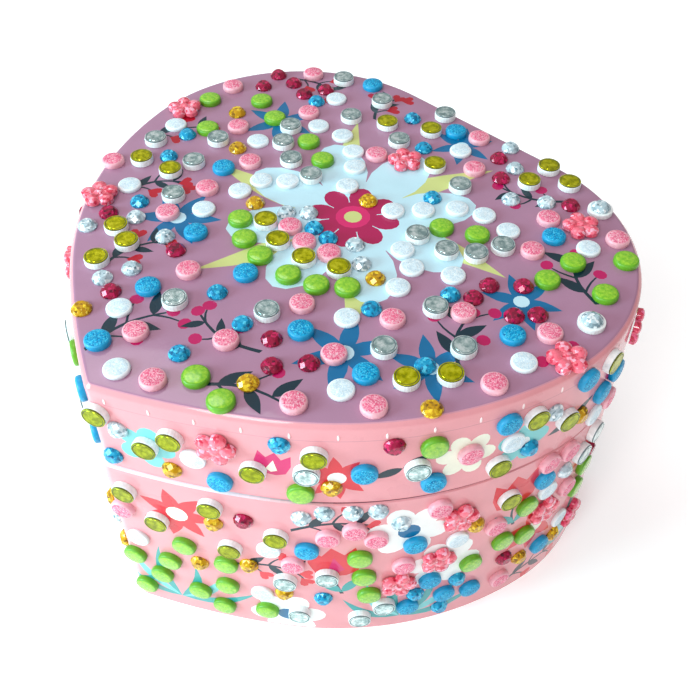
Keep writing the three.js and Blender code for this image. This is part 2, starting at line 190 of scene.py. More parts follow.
ARCS = outline_arcs()
BACK_HALF = ARCS[3][0]
HALF_RUN = BACK_HALF + sum(r * (b - a) for _, _, r, a, b in ARCS)


def outline_at(run):
    """Point and outward normal of the outline, a signed run from the tip."""
    side = -1 if run < 0 else 1
    left = min(abs(run), HALF_RUN)
    for cx, cy, radius, a, b in ARCS:
        length = radius * (b - a)
        if left <= length:
            heading = a + left / radius
            nx, ny = sin(heading), -cos(heading)
            return side * (cx + radius * nx), cy + radius * ny, side * nx, ny
        left -= length
    return side * (BACK_HALF - left), LENGTH / 2, 0.0, 1.0


def stations():
    """Runs at which the walls are cut into columns, from the middle of the back and round to it."""
    right, start = [0.0], 0.0
    for _, _, radius, a, b in ARCS:
        steps = ceil(max(degrees(b - a) / FINE_TURN, radius * (b - a) / FINE_RUN))
        right += [start + radius * (b - a) * (i + 1) / steps for i in range(steps)]
        start = right[-1]
    steps = ceil(BACK_HALF / (2 * FINE_RUN))
    right += [start + BACK_HALF * (i + 1) / steps for i in range(steps)]
    return [-s for s in reversed(right[1:])] + right


STATIONS = stations()


def ring(offset, z, shift=(0, 0)):
    """The outline moved outwards by the offset, at height z."""
    points = []
    for s in STATIONS[:-1]:
        x, y, nx, ny = outline_at(s)
        points.append((x + offset * nx + shift[0], y + offset * ny + shift[1], z))
    return points


# Where the gems go

def gem_of(kind, u, v):
    return {"kind": kind, "u": u, "v": v, "r": KINDS[kind][1]}


def gems_of(table, scale_x, scale_y):
    return [gem_of(kind, a * scale_x, b * scale_y) for kind, places in table.items() for a, b in places]


def far_gems(rows, scale_y):
    spacing, heights, kinds = rows
    gems = []
    for row, height in enumerate(heights):
        for start, end in FAR_SIDES:
            count = int(abs(end - start) / 1000 * HALF_RUN / spacing)
            for i in range(count):
                share = (i + FAR_START + FAR_SHIFT * (row % 2)) / count
                u = (start + (end - start) * share) / 1000 * HALF_RUN
                gems.append(gem_of(kinds[(i + 2 * row) % len(kinds)], u, height * scale_y))
    return gems


def settle(gems, bound):
    """Nudges the gems of one surface apart over a fixed number of passes, keeping each inside its bounds."""
    for _ in range(SETTLE_PASSES):
        for i, a in enumerate(gems):
            for b in gems[i + 1:]:
                du, dv = b["u"] - a["u"], b["v"] - a["v"]
                distance = hypot(du, dv) or TINY
                short = a["r"] + b["r"] + GEM_GAP - distance
                if short > 0:
                    push = 0.5 * short / distance
                    a["u"] -= du * push
                    a["v"] -= dv * push
                    b["u"] += du * push
                    b["v"] += dv * push
        for gem in gems:
            bound(gem)
    return gems


def coarse_edge():
    """The lid's edge as the solids have it, for the margin that its gems keep."""
    right = []
    for cx, cy, radius, a, b in ARCS:
        steps = ceil((b - a) / (2 * acos(1 - FACET_RISE / radius)))
        for i in range(1 if right else 0, steps + 1):
            heading = a + (b - a) * i / steps
            r = radius - LID_INSET
            right.append((cx + r * sin(heading), cy - r * cos(heading)))
    return right + [(-x, y) for x, y in reversed(right[1:])]


EDGE = coarse_edge()


def bound_top(gem):
    """Moves a gem of the lid's top in from the edge that is nearest to it."""
    best = None
    for i, (px, py) in enumerate(EDGE):
        qx, qy = EDGE[(i + 1) % len(EDGE)]
        length = hypot(qx - px, qy - py)
        nx, ny = (qy - py) / length, -(qx - px) / length
        distance = (px - gem["u"]) * nx + (py - gem["v"]) * ny
        if best is None or distance < best[0]:
            best = (distance, nx, ny)
    short = RIM_ROUND + RIM_MARGIN - best[0]
    if short > 0:
        gem["u"] -= best[1] * short
        gem["v"] -= best[2] * short


def bound_wall(bottom, top):
    def bound(gem):
        low, high = bottom + gem["r"] + EDGE_MARGIN, top - gem["r"] - EDGE_MARGIN
        gem["v"] = min(max(gem["v"], low), high)
    return bound


def top_frame(gem, lift):
    """Where a gem stands on the lid's top, lifted off it by the lift."""
    return Matrix.Translation((gem["u"] + LID_ASKEW[0], gem["v"] + LID_ASKEW[1], HEIGHT + lift))


def wall_frame(gem, lift, offset, shift, level):
    """Where a gem stands on a wall, its own Z pointing out of the wall."""
    x, y, nx, ny = outline_at(gem["u"])
    out, up = Vector((nx, ny, 0)), Vector((0, 0, 1))
    along = up.cross(out)
    turn = Matrix((along, up, out)).transposed().to_4x4()
    reach = offset + lift
    return Matrix.Translation((x + reach * nx + shift[0], y + reach * ny + shift[1], gem["v"] + level)) @ turn


def lid_wall_frame(gem, lift):
    return wall_frame(gem, lift, -LID_INSET, LID_ASKEW, LID_BOTTOM)


def base_wall_frame(gem, lift):
    return wall_frame(gem, lift, 0, (0, 0), 0)


# Meshes

class Solid:
    """Vertices, faces and a material index for each face, in millimetres."""

    def __init__(self):
        self.verts, self.faces, self.mats = [], [], []

    def add(self, verts, faces, mats, place=None):
        start = len(self.verts)
        self.verts += [tuple(place @ Vector(v)) if place else tuple(v) for v in verts]
        self.faces += [tuple(start + i for i in f) for f in faces]
        self.mats += mats
        return self

    def object(self, name, materials, sharp=None):
        mesh = bpy.data.meshes.new(name)
        mesh.from_pydata([(x * MM, y * MM, z * MM) for x, y, z in self.verts], [], self.faces)
        for material in materials:
            mesh.materials.append(material)
        mesh.polygons.foreach_set("material_index", self.mats)
        mesh.validate()
        if sharp is not None:
            mesh.shade_smooth()
            mesh.set_sharp_from_angle(angle=radians(sharp))
        obj = bpy.data.objects.new(name, mesh)
        bpy.context.scene.collection.objects.link(obj)
        return obj


def lathe(profile, sides, phase=0.0):
    """A closed turned body from (radius, height, material of the band that ends there)."""
    verts, faces, mats, rings = [], [], [], []
    for radius, z, _ in profile:
        if radius == 0:
            rings.append([len(verts)])
            verts.append((0, 0, z))
            continue
        rings.append(list(range(len(verts), len(verts) + sides)))
        for i in range(sides):
            a = phase + tau * i / sides
            verts.append((radius * cos(a), radius * sin(a), z))
    for k in range(1, len(rings)):
        low, high, mat = rings[k - 1], rings[k], profile[k][2]
        for i in range(sides):
            j = (i + 1) % sides
            if len(low) == 1:
                faces.append((low[0], high[j], high[i]))
            elif len(high) == 1:
                faces.append((low[i], low[j], high[0]))
            else:
                faces.append((low[i], low[j], high[j], high[i]))
            mats.append(mat)
    return verts, faces, mats


def arc_profile(radius, low, high, round_to, steps, mat):
    """The rounded shoulder of a disc, from its side up to its face."""
    angles = [radians(90 * i / steps) for i in range(1, steps + 1)]
    return [(radius - round_to * (1 - cos(a)), low + (high - low) * sin(a), mat) for a in angles]


def pillow(radius, height, phase):
    """A disc with a rounded shoulder and a faintly domed face."""
    face, side = 0, 1
    foot, lip, shoulder = 0.96 * radius, 0.84 * radius, 0.5 * height
    profile = [(0, 0, side), (foot, 0, side), (radius, 0.16 * height, side), (radius, shoulder, side)]
    profile += arc_profile(radius, shoulder, 0.9 * height, radius - lip, 4, side)
    profile += [(0.7 * radius, 0.97 * height, face), (0.35 * radius, height, face), (0, height, face)]
    return [lathe(profile, DISC_SIDES, phase)]


def foam_disc(radius, height):
    """The foam pad under a mirror or a stone."""
    foam, foot, shoulder = 1, 0.96 * radius, 0.8 * height
    profile = [(0, 0, foam), (foot, 0, foam), (radius, 0.08 * height, foam), (radius, shoulder, foam)]
    profile += arc_profile(radius, shoulder, height, 0.07 * radius, 3, foam)
    return lathe(profile + [(0, height, foam)], DISC_SIDES)


def mirror_disc(radius, height, phase):
    """Mirror film on its foam pad, with a ring pressed in near its edge. The film's edge and ring carry
    painted shade.
    """
    foil, edge, pad_share = 0, 2, 0.84
    pad, groove, r = pad_share * height, 0.975 * height, 0.95 * radius
    profile = [
        (0, pad - SUNK, edge), (r, pad - SUNK, edge), (r, 0.97 * height, edge), (0.97 * r, height, foil),
        (0.9 * r, height, foil), (0.885 * r, groove, edge), (0.825 * r, groove, edge),
        (0.81 * r, height, foil), (0.4 * r, height, foil), (0, height, foil)]
    return [foam_disc(radius, pad), lathe(profile, FOIL_SIDES, phase)]


# A cut stone's rings from its foot up: corners, shares of its radius and rise, and turn
STONE_RINGS = ((16, 0.97, 0.0, 0), (16, 1.0, 0.28, 0), (8, 0.83, 0.66, 0.5), (8, 0.55, 1.0, 0))


def brilliant(radius, low, height, phase):
    """A cut stone: a round girdle, sixteen small and eight large crown facets, and a table."""
    n, rise = 8, height - low
    verts, rows = [(0, 0, low)], []
    for count, share, level, turn in STONE_RINGS:
        rows.append([len(verts) + i for i in range(count)])
        for i in range(count):
            a = phase + tau * (i + turn) / count
            verts.append((share * radius * cos(a), share * radius * sin(a), low + level * rise))
    foot, girdle, crown, table = rows
    faces = []
    for i in range(2 * n):
        j = (i + 1) % (2 * n)
        faces += [(0, foot[j], foot[i]), (foot[i], foot[j], girdle[j], girdle[i])]
    for i in range(n):
        j = (i + 1) % n
        a, b, c = girdle[2 * i], girdle[2 * i + 1], girdle[2 * j]
        faces += [(a, b, crown[i]), (b, c, crown[i])]
        faces += [(crown[i], c, crown[j]), (table[j], crown[i], crown[j]), (table[i], crown[i], table[j])]
    faces.append(tuple(table))
    return verts, faces, [0] * len(faces)


def flower(radius, height):
    """Five domed petals round a small domed eye, over the outline that the petals' circles make."""
    petal = PETAL_SHARE * radius
    reach = radius - petal
    half = pi / PETALS
    around, rings = 60, [0.12, 0.26, 0.4, 0.55, 0.7, 0.83, 0.93, 1.0]
    dome, eye, eye_rise, rim, swell, foot = 1.06 * petal, 0.3 * radius, 1.05, 0.42, 0.6, 0.98

    def edge_at(angle):
        a = abs((angle + half) % (2 * half) - half)
        return reach * cos(a) + sqrt(max(petal ** 2 - (reach * sin(a)) ** 2, 0))

    def height_at(x, y):
        best = 0.0
        for k in range(PETALS):
            cx, cy = reach * cos(2 * half * k), reach * sin(2 * half * k)
            d = hypot(x - cx, y - cy) / dome
            best = max(best, sqrt(max(1 - d * d, 0)))
        d = hypot(x, y) / eye
        best = max(best, eye_rise * sqrt(max(1 - d * d, 0)))
        return height * min(rim + swell * best, 1.0)

    verts, faces = [(0, 0, height_at(0, 0))], []
    for share in rings:
        for i in range(around):
            a = tau * i / around
            r = share * edge_at(a)
            x, y = r * cos(a), r * sin(a)
            verts.append((x, y, height_at(x, y)))
    for i in range(around):
        a = tau * i / around
        r = foot * edge_at(a)
        verts.append((r * cos(a), r * sin(a), 0))
    verts.append((0, 0, 0))
    for k in range(len(rings) + 1):
        for i in range(around):
            j = (i + 1) % around
            a, b = 1 + k * around + i, 1 + k * around + j
            if k == 0:
                faces.append((0, a, b))
            if k < len(rings):
                faces.append((a, a + around, b + around, b))
            else:
                faces.append((b, a, len(verts) - 1))
    return [(verts, faces, [0] * len(faces))]


def gem_shapes(kind, phase):
    form, radius, height = KINDS[kind]
    if form == "pillow":
        return pillow(radius, height, phase)
    if form == "mirror":
        return mirror_disc(radius, height, phase)
    if form == "stone":
        return [brilliant(radius, 0, height, phase)]
    if form == "foam_stone":
        foam, stone_radius = 0.5 * height, 0.8 * radius
        return [foam_disc(radius, foam), brilliant(stone_radius, foam - SUNK, height, phase)]
    return flower(radius, height)


# Materials

def linear(*rgb):
    """A display colour, 0 to 255, as the renderer's linear value."""
    return tuple((c / 255 / 12.92 if c <= 10 else ((c / 255 + 0.055) / 1.055) ** 2.4) for c in rgb) + (1.0,)


def set_stops(ramp, stops):
    """Gives a ramp node its positions and colours."""
    elements = ramp.color_ramp.elements
    while len(elements) < len(stops):
        elements.new(0.5)
    for element, (at, colour) in zip(elements, stops):
        element.position = at
        element.color = colour


class Shader:
    """A procedural material: the shader's plain values, and the nodes that vary the others."""

    def __init__(self, name, **values):
        self.material = bpy.data.materials.new(name)
        self.material.use_nodes = True
        self.tree = self.material.node_tree
        self.bsdf = self.tree.nodes["Principled BSDF"]
        for key, value in values.items():
            self.bsdf.inputs[key.replace("_", " ").title().replace("Ior", "IOR")].default_value = value
        self.coords = self.node("ShaderNodeTexCoord").outputs["Object"]

    def node(self, kind, **inputs):
        made = self.tree.nodes.new(kind)
        for key, value in inputs.items():
            socket = made.inputs[key]
            if isinstance(value, bpy.types.NodeSocket):
                self.tree.links.new(value, socket)
            else:
                socket.default_value = value
        return made

    def noise(self, size_mm, detail=3.0, rough=0.55):
        made = self.node(
            "ShaderNodeTexNoise", Vector=self.coords, Scale=1 / (size_mm * MM), Detail=detail, Roughness=rough)
        return made.outputs["Fac"]

    def cells(self, size_mm, output="Color"):
        return self.node("ShaderNodeTexVoronoi", Vector=self.coords, Scale=1 / (size_mm * MM)).outputs[output]

    def ramp(self, factor, *stops):
        made = self.node("ShaderNodeValToRGB", Fac=factor)
        set_stops(made, stops)
        return made.outputs["Color"]

    def tones(self, factor, *stops):
        return self.ramp(factor, *[(at, linear(*rgb)) for at, rgb in stops])

    def grey(self, factor, *stops):
        return self.ramp(factor, *[(at, (v, v, v, 1)) for at, v in stops])

    def times(self, a, b):
        made = self.tree.nodes.new("ShaderNodeMix")
        made.data_type, made.blend_type = "RGBA", "MULTIPLY"
        made.inputs[0].default_value = 1.0
        self.tree.links.new(a, made.inputs[6])
        self.tree.links.new(b, made.inputs[7])
        return made.outputs[2]

    def separate(self, colour):
        return self.node("ShaderNodeSeparateColor", Color=colour).outputs

    def bump(self, height, depth_mm, under=None):
        made = self.node("ShaderNodeBump", Height=height, Distance=depth_mm * MM, Strength=1.0)
        if under is not None:
            self.tree.links.new(under, made.inputs["Normal"])
        return made.outputs["Normal"]

    def made(self, colour, rough, normal, metallic=None):
        inputs = {"Base Color": colour, "Roughness": rough, "Normal": normal, "Metallic": metallic}
        for name, output in inputs.items():
            if output:
                self.tree.links.new(output, self.bsdf.inputs[name])
        return self.material


def printed_paper():
    """Laminated paper: the print's flat colours, faint ink mottle, and the soft unevenness of the wrap."""
    s = Shader("printed_paper", coat_weight=0.65, coat_roughness=0.08, specular_ior_level=0.1)
    ink = s.node("ShaderNodeVertexColor")
    ink.layer_name = "print"
    mottle = s.grey(s.noise(9, 2), (0.3, 0.94), (0.7, 1.0))
    fine = s.grey(s.noise(0.5), (0.25, 0.965), (0.75, 1.0))
    wave = s.bump(s.noise(26, 1), 0.12)
    rough = s.grey(s.noise(14), (0.3, 0.26), (0.7, 0.38))
    colour = s.times(s.times(ink.outputs["Color"], mottle), fine)
    return s.made(colour, rough, s.bump(s.noise(0.7), 0.012, wave))


def plain_paper(name, rgb):
    """Uncoated lining paper with a visible fibre."""
    s = Shader(name)
    fibre = s.noise(0.6, 6, 0.7)
    colour = s.tones(s.noise(7, 4), (0.3, [0.94 * c for c in rgb]), (0.7, rgb))
    grain = s.grey(fibre, (0.3, 0.93), (0.7, 1.0))
    rough = s.grey(fibre, (0.2, 0.65), (0.8, 0.85))
    return s.made(s.times(colour, grain), rough, s.bump(fibre, 0.03))


def glitter(name, deep, middle, pale, painted_sparkle):
    """Fine flakes in a clear film: each flake has its own shade and tilt, a few of them shine, and the palest
    are painted sparkle.
    """
    s = Shader(name, specular_ior_level=0.2)
    flake = 0.28
    shade = s.separate(s.cells(flake))
    colour = s.tones(shade[0], (0.0, deep), (0.35, middle), (0.7, pale), (0.97, painted_sparkle))
    broad = s.grey(s.noise(2.0), (0.35, 0.84), (0.65, 1.0))
    tilt = s.bump(shade[1], 0.035, s.bump(s.cells(flake, "Distance"), 0.03))
    rough = s.grey(shade[2], (0.0, 0.25), (1.0, 0.55))
    return s.made(s.times(colour, broad), rough, tilt, s.grey(shade[1], (0.75, 0.0), (0.95, 0.3)))


def smooth_foam(name, rgb, low=0.9):
    """The dyed foam side of a disc, smooth and faintly pored. Also the painted shade on a mirror film's edge
    and ring.
    """
    s = Shader(name, coat_weight=0.15, coat_roughness=0.25, subsurface_weight=0.08,
               subsurface_radius=(0.001, 0.0008, 0.0008))
    pores = s.noise(0.35)
    colour = s.tones(s.noise(1.6), (0.3, [low * c for c in rgb]), (0.7, rgb))
    return s.made(colour, s.grey(pores, (0.3, 0.36), (0.7, 0.5)), s.bump(pores, 0.02))


def gloss_disc(name, rgb, lighter_cloud):
    """A smooth glossy disc with faint lighter clouds in its colour, for its soft texture and as painted
    highlights.
    """
    s = Shader(name, coat_weight=0.5, coat_roughness=0.06, subsurface_weight=0.1,
               subsurface_radius=(0.001, 0.001, 0.0004))
    colour = s.tones(s.noise(1.0, 4), (0.36, rgb), (0.66, lighter_cloud))
    rough = s.grey(s.noise(0.8), (0.3, 0.16), (0.7, 0.3))
    return s.made(colour, rough, s.bump(s.noise(1.4), 0.06))


def foil(name, dark, middle, light):
    """Mirror film on soft foam: bright and dark streaks painted as its reflection, with shallow dents."""
    s = Shader(name, metallic=0.85)
    colour = s.tones(s.noise(1.7, 3, 0.6), (0.36, dark), (0.5, middle), (0.64, light))
    rough = s.grey(s.noise(0.9), (0.3, 0.08), (0.7, 0.24))
    return s.made(colour, rough, s.bump(s.noise(3.4, 1), 0.1, s.bump(s.noise(0.7, 2), 0.012)))


def stone(name, deep, middle, light):
    """A foil-backed acrylic stone: dark and bright patches painted as its facets' reflections and glints, and
    clear at its faces.
    """
    s = Shader(name, metallic=0.15, coat_weight=0.2, coat_roughness=0.03, ior=1.45)
    shade = s.separate(s.cells(0.8))
    colour = s.tones(shade[0], (0.0, deep), (0.35, middle), (0.7, middle), (0.95, light))
    scratch = s.noise(0.4, 2)
    tilt = s.bump(shade[1], 0.1, s.bump(scratch, 0.004))
    return s.made(colour, s.grey(scratch, (0.3, 0.05), (0.8, 0.18)), tilt)


def acrylic(name, deep, light):
    """Tinted acrylic with a crackled inside; its brightest cells are painted glints."""
    s = Shader(name, subsurface_weight=0.2, subsurface_radius=(0.002, 0.001, 0.001), coat_weight=0.7,
               coat_roughness=0.03)
    shade = s.separate(s.cells(0.95))
    painted_glint = [min(255, c + 70) for c in light]
    colour = s.tones(shade[0], (0.08, deep), (0.4, light), (0.74, light), (0.94, painted_glint))
    return s.made(colour, s.grey(s.noise(0.5, 2), (0.3, 0.04), (0.8, 0.16)), s.bump(shade[1], 0.4))


PAPER = printed_paper()
LINING = plain_paper("lining_paper", (240, 226, 222))
FOAM = smooth_foam("white_foam", (252, 253, 253))
# The mirror film's edge and pressed ring, darker than the film: painted shade
LIME_EDGE_SHADE = smooth_foam("lime_foil_edge_shade", (88, 88, 0), 0.85)
SILVER_EDGE_SHADE = smooth_foam("silver_foil_edge_shade", (104, 122, 128), 0.85)

# What each kind is made of. The lime discs on the walls get a darker copy of the lime foil, painted shade.
SHADED_WALL_LIME = [foil("lime_foil_wall_shaded", (122, 130, 0), (146, 154, 4), (172, 178, 30)), FOAM, LIME_EDGE_SHADE]
LOOKS = {
    "pink_glitter": [
        glitter("pink_glitter", (228, 80, 122), (242, 116, 148), (251, 156, 179), (255, 206, 216)),
        smooth_foam("pink_foam", (255, 182, 196))],
    "blue_glitter": [
        glitter("blue_glitter", (0, 100, 160), (0, 146, 202), (8, 176, 222), (90, 208, 238)),
        smooth_foam("blue_foam", (0, 160, 212))],
    "white_glitter": [
        glitter("white_glitter", (204, 225, 239), (218, 235, 245), (230, 242, 249), (248, 252, 255)),
        smooth_foam("pale_foam", (240, 246, 250), 0.97)],
    "green": [
        gloss_disc("green_gloss", (108, 176, 6), (160, 206, 40)),
        smooth_foam("green_foam", (106, 176, 24))],
    "amber_stone": [stone("amber_stone", (122, 80, 0), (208, 152, 0), (252, 214, 44))],
    "clear_stone": [stone("clear_stone", (112, 138, 150), (192, 210, 219), (248, 252, 254))],
    "blue_stone": [stone("blue_stone", (0, 86, 130), (0, 152, 198), (80, 204, 236))],
    "crimson_stone": [stone("crimson_stone", (84, 0, 34), (158, 0, 56), (206, 20, 90))],
    "lime_mirror": [foil("lime_foil", (158, 160, 0), (198, 196, 6), (224, 220, 48)), FOAM, LIME_EDGE_SHADE],
    "silver_mirror": [
        foil("silver_foil", (142, 168, 168), (190, 210, 208), (230, 241, 240)), FOAM, SILVER_EDGE_SHADE],
    "foam_stone": [stone("clear_foam_stone", (104, 130, 142), (182, 202, 210), (250, 253, 255)), FOAM],
    "pink_flower": [acrylic("pink_acrylic", (214, 30, 68), (250, 108, 130))],
    "red_flower": [acrylic("crimson_acrylic", (196, 14, 60), (232, 50, 96))],
}

# The print's colours; the lid's fold line with its painted shade and its tabs with their painted highlight;
# and the base's pressed edge, with a painted highlight near the tip and painted shadow under the lid further
# on
MAUVE, ROSE, EDGE_TINT = linear(173, 125, 152), linear(234, 154, 161), linear(214, 148, 166)
PALE_BLUE, WHITE, CREAM = linear(196, 228, 240), linear(250, 250, 248), linear(248, 246, 226)
CRIMSON, RED, HOT_PINK = linear(176, 14, 82), linear(226, 44, 58), linear(216, 34, 106)
MAGENTA, DEEP_RED = linear(190, 10, 92), linear(184, 8, 38)
LEAF_LIME, SEA_GREEN, AQUA = linear(206, 210, 132), linear(60, 160, 160), linear(122, 204, 206)
BLUE, TEAL = linear(0, 104, 154), linear(8, 42, 56)
FOLD_SHADE, TAB_HIGHLIGHT = linear(214, 140, 150), linear(255, 226, 226)
LEDGE_HIGHLIGHT, LEDGE_SHADOW = linear(244, 236, 244), linear(134, 84, 94)


# The print: flat shapes laid on the board, in millimetres. Later shapes lie over earlier ones.

def turned(points, x=0.0, y=0.0, degrees=0.0, scale=1.0):
    c, s = cos(radians(degrees)) * scale, sin(radians(degrees)) * scale
    return [(x + c * px - s * py, y + s * px + c * py) for px, py in points]


def placed(shapes, x, y, degrees=0.0, scale=1.0):
    return [(colour, turned(points, x, y, degrees, scale)) for colour, points in shapes]


def oval(long, wide, steps=14):
    angles = [tau * i / steps for i in range(steps)]
    return [(long * cos(a), wide * sin(a)) for a in angles]


def leaf(length, width, bend=0.0, steps=7):
    """A pointed leaf from the origin along +X."""
    upper, lower = [], []
    for i in range(steps + 1):
        t = i / steps
        half = 0.5 * width * sin(pi * t ** 0.8)
        middle = bend * sin(pi * t)
        upper.append((length * t, middle + half))
        if 0 < i < steps:
            lower.append((length * t, middle - half))
    return upper + lower[::-1]


def stroke(a, b, bend, width, steps=8):
    """A curved stem from a to b that tapers to half its width."""
    along = Vector((b[0] - a[0], b[1] - a[1]))
    side = Vector((-along.y, along.x)).normalized()
    left, right = [], []
    for i in range(steps + 1):
        t = i / steps
        p = Vector(a) + along * t + side * bend * sin(pi * t)
        half = 0.5 * width * (1 - 0.5 * t)
        left.append(tuple(p + side * half))
        right.append(tuple(p - side * half))
    return left[::-1] + right


def heart(size):
    """The well-known heart curve, 17 units from its middle to its point."""
    steps, span, points = 16, 17, []
    for i in range(steps):
        t = tau * i / steps
        rise = 13 * cos(t) - 5 * cos(2 * t) - 2 * cos(3 * t) - cos(4 * t)
        points.append((size / span * 16 * sin(t) ** 3, size / span * rise))
    return points


def blossom(petals, reach, long, wide, colour, eye, eye_colour):
    shapes = []
    for k in range(petals):
        a = 360 * k / petals
        at = turned([(reach, 0)], degrees=a)[0]
        shapes.append((colour, turned(oval(long, wide), *at, a)))
    shapes.append((colour, oval(reach * 0.75, reach * 0.75)))
    return shapes + [(eye_colour, oval(eye, eye))]


def rays(petals, length, width, colour, eye, eye_colour):
    shapes = [(colour, turned(leaf(length, width), degrees=360 * k / petals)) for k in range(petals)]
    return shapes + [(eye_colour, oval(eye, eye))]


def sprig(length, leaf_length, tip_shapes):
    """A stem with three pairs of leaves and twigs, and a small shape on the end of each twig."""
    pairs, bend, stem_width, twig_width, twig_bend = 3, 3.0, 1.3, 0.8, 0.6
    leaf_width, twig_length = 0.36 * leaf_length, 0.95 * leaf_length
    shapes = [(TEAL, stroke((0, 0), (length, 0), bend, stem_width))]
    for k in range(pairs):
        t = (k + 0.8) / (pairs + 0.5)
        x, y = length * t, bend * sin(pi * t)
        for side in (-1, 1):
            a = side * (42 + 6 * k)
            if (k + (side > 0)) % 2:
                shapes.append((TEAL, turned(leaf(leaf_length, leaf_width), x, y, a)))
            else:
                tip = turned([(twig_length, 0)], x, y, a)[0]
                shapes.append((TEAL, stroke((x, y), tip, twig_bend, twig_width, 4)))
                shapes += placed(tip_shapes, *tip, a - 90)
    return shapes + placed(tip_shapes, length, 0, -90)


def tulip(size, colour, inner):
    cup = [(-0.5, 0.0), (-0.62, 0.45), (-0.55, 1.0), (-0.26, 0.72), (0, 1.05), (0.26, 0.72), (0.55, 1.0),
           (0.62, 0.45), (0.5, 0.0), (0.2, -0.16), (-0.2, -0.16)]
    core = [(-0.2, 0.1), (0, 0.62), (0.2, 0.1), (0, -0.02)]
    return placed([(colour, cup[::-1]), (inner, core)], 0, 0, scale=size)


# On the lid: the large blossom's middle, blue flowers (x, y, turn, scale), sprigs (x, y, turn, length)
BLOOM_AT = (2, 16)
LID_RAYS = [
    (-52, 36, 10, 1.0), (-36, -22, 40, 1.05), (40, -27, 0, 1.1), (62, 22, 25, 0.9), (2, 69, 0, 0.85),
    (60, -15, 20, 0.95)]
LID_SPRIGS = [
    (-76, -4, 65, 24), (-58, -26, 60, 20), (-10, -74, 78, 26), (20, -62, 28, 26), (66, -10, 120, 22),
    (78, 36, 140, 22), (46, 70, 205, 24), (-30, 60, 100, 16), (-70, 58, 10, 20), (24, -42, -176, 24),
    (88, 29, -96, 21), (-34, -52, 78, 22)]


def lid_print():
    berry, small_heart = [(MAGENTA, oval(2.1, 1.9, 10))], [(DEEP_RED, heart(2.8))]
    shapes = [(LEAF_LIME, turned(leaf(52, 9, 2.5, 10), *BLOOM_AT, 60 * k + 12)) for k in range(6)]
    shapes += placed(blossom(8, 25, 14, 8.6, PALE_BLUE, 12, PALE_BLUE), *BLOOM_AT, 8)
    shapes += placed(blossom(8, 10, 4.6, 3.6, CRIMSON, 5.4, HOT_PINK), *BLOOM_AT, 30)
    shapes += placed([(LEAF_LIME, oval(2.8, 2.8))], *BLOOM_AT)
    for x, y, turn, scale in LID_RAYS:
        shapes += placed(rays(6, 13.0, 4.6, BLUE, 2.6, PALE_BLUE), x, y, turn, scale)
    for x, y, turn, length in LID_SPRIGS:
        leaf_length = 10.0 if y < -60 or x > 60 else 7.0
        shapes += placed(sprig(length, leaf_length, berry if x > -20 else small_heart), x, y, turn)
    return shapes


def wall_row(motifs, spacing, level, start):
    """An uneven row of motifs round a wall, in (run, height), on both sides of the tip."""
    shapes, count = [], int((HALF_RUN - start) / spacing)
    for side in (1, -1):
        for k in range(count):
            lift, turn = 2.0 * sin(1.7 * k), side * 9 * sin(2.3 * k)
            shapes += placed(motifs[k % len(motifs)], side * (start + k * spacing), level + lift, turn)
    return shapes


def lid_wall_print():
    red_rays = rays(8, 9.5, 4.0, RED, 2.6, WHITE)
    white = blossom(6, 5.2, 3.6, 2.9, CREAM, 2.6, CRIMSON)
    aqua = blossom(5, 5.0, 3.8, 3.3, AQUA, 2.4, WHITE)
    leaves = [(TEAL, turned(leaf(9, 3.2), degrees=30)), (TEAL, turned(leaf(9, 3.2), degrees=200))]
    bud = tulip(8, HOT_PINK, CREAM)
    return wall_row([aqua, leaves, bud, red_rays, leaves, white], spacing=17.5, level=13.0, start=14)


def base_wall_print():
    white = blossom(6, 7.2, 5.2, 4.2, WHITE, 3.4, BLUE)
    red_rays = rays(7, 12, 5.2, RED, 3.4, CREAM)
    clump = []
    for k, a in enumerate((24, 50, 72, 98, 124, 152)):
        length, width, bend = 29 - 3 * (k % 3), 3.6, 3.0 if a > 90 else -3.0
        clump.append((AQUA if k % 3 == 1 else SEA_GREEN, turned(leaf(length, width, bend), degrees=a)))
    twig = sprig(24, 8, [(RED, heart(2.8))])
    bud = [(TEAL, stroke((0, -13), (0, 0), 1.0, 1.2))] + tulip(13, RED, HOT_PINK)
    bud += [(SEA_GREEN, turned(leaf(11, 3.6), 0, -12, 50)), (SEA_GREEN, turned(leaf(11, 3.6), 0, -12, 130))]
    low = wall_row([clump, white, clump, twig], spacing=36, level=6, start=15)
    middle = wall_row([twig, bud, white, red_rays], spacing=33, level=34, start=34)
    high = wall_row([red_rays, twig, white, bud], spacing=34, level=56, start=20)
    return low + middle + high


# The print's margin, the least gap between points, a search cell, welding in metres, and sharp edges
PRINT_MARGIN, SAME_POINT, CELL, WELD, BOARD_SHARP = 0.6, 1e-4, 4.0, 2e-6, 35
PRINTED, LINED = 0, 1


def inside(shape, x, y):
    hit, j = False, len(shape) - 1
    for i, (xi, yi) in enumerate(shape):
        xj, yj = shape[j]
        if (yi > y) != (yj > y) and x < (xj - xi) * (y - yi) / (yj - yi) + xi:
            hit = not hit
        j = i
    return hit


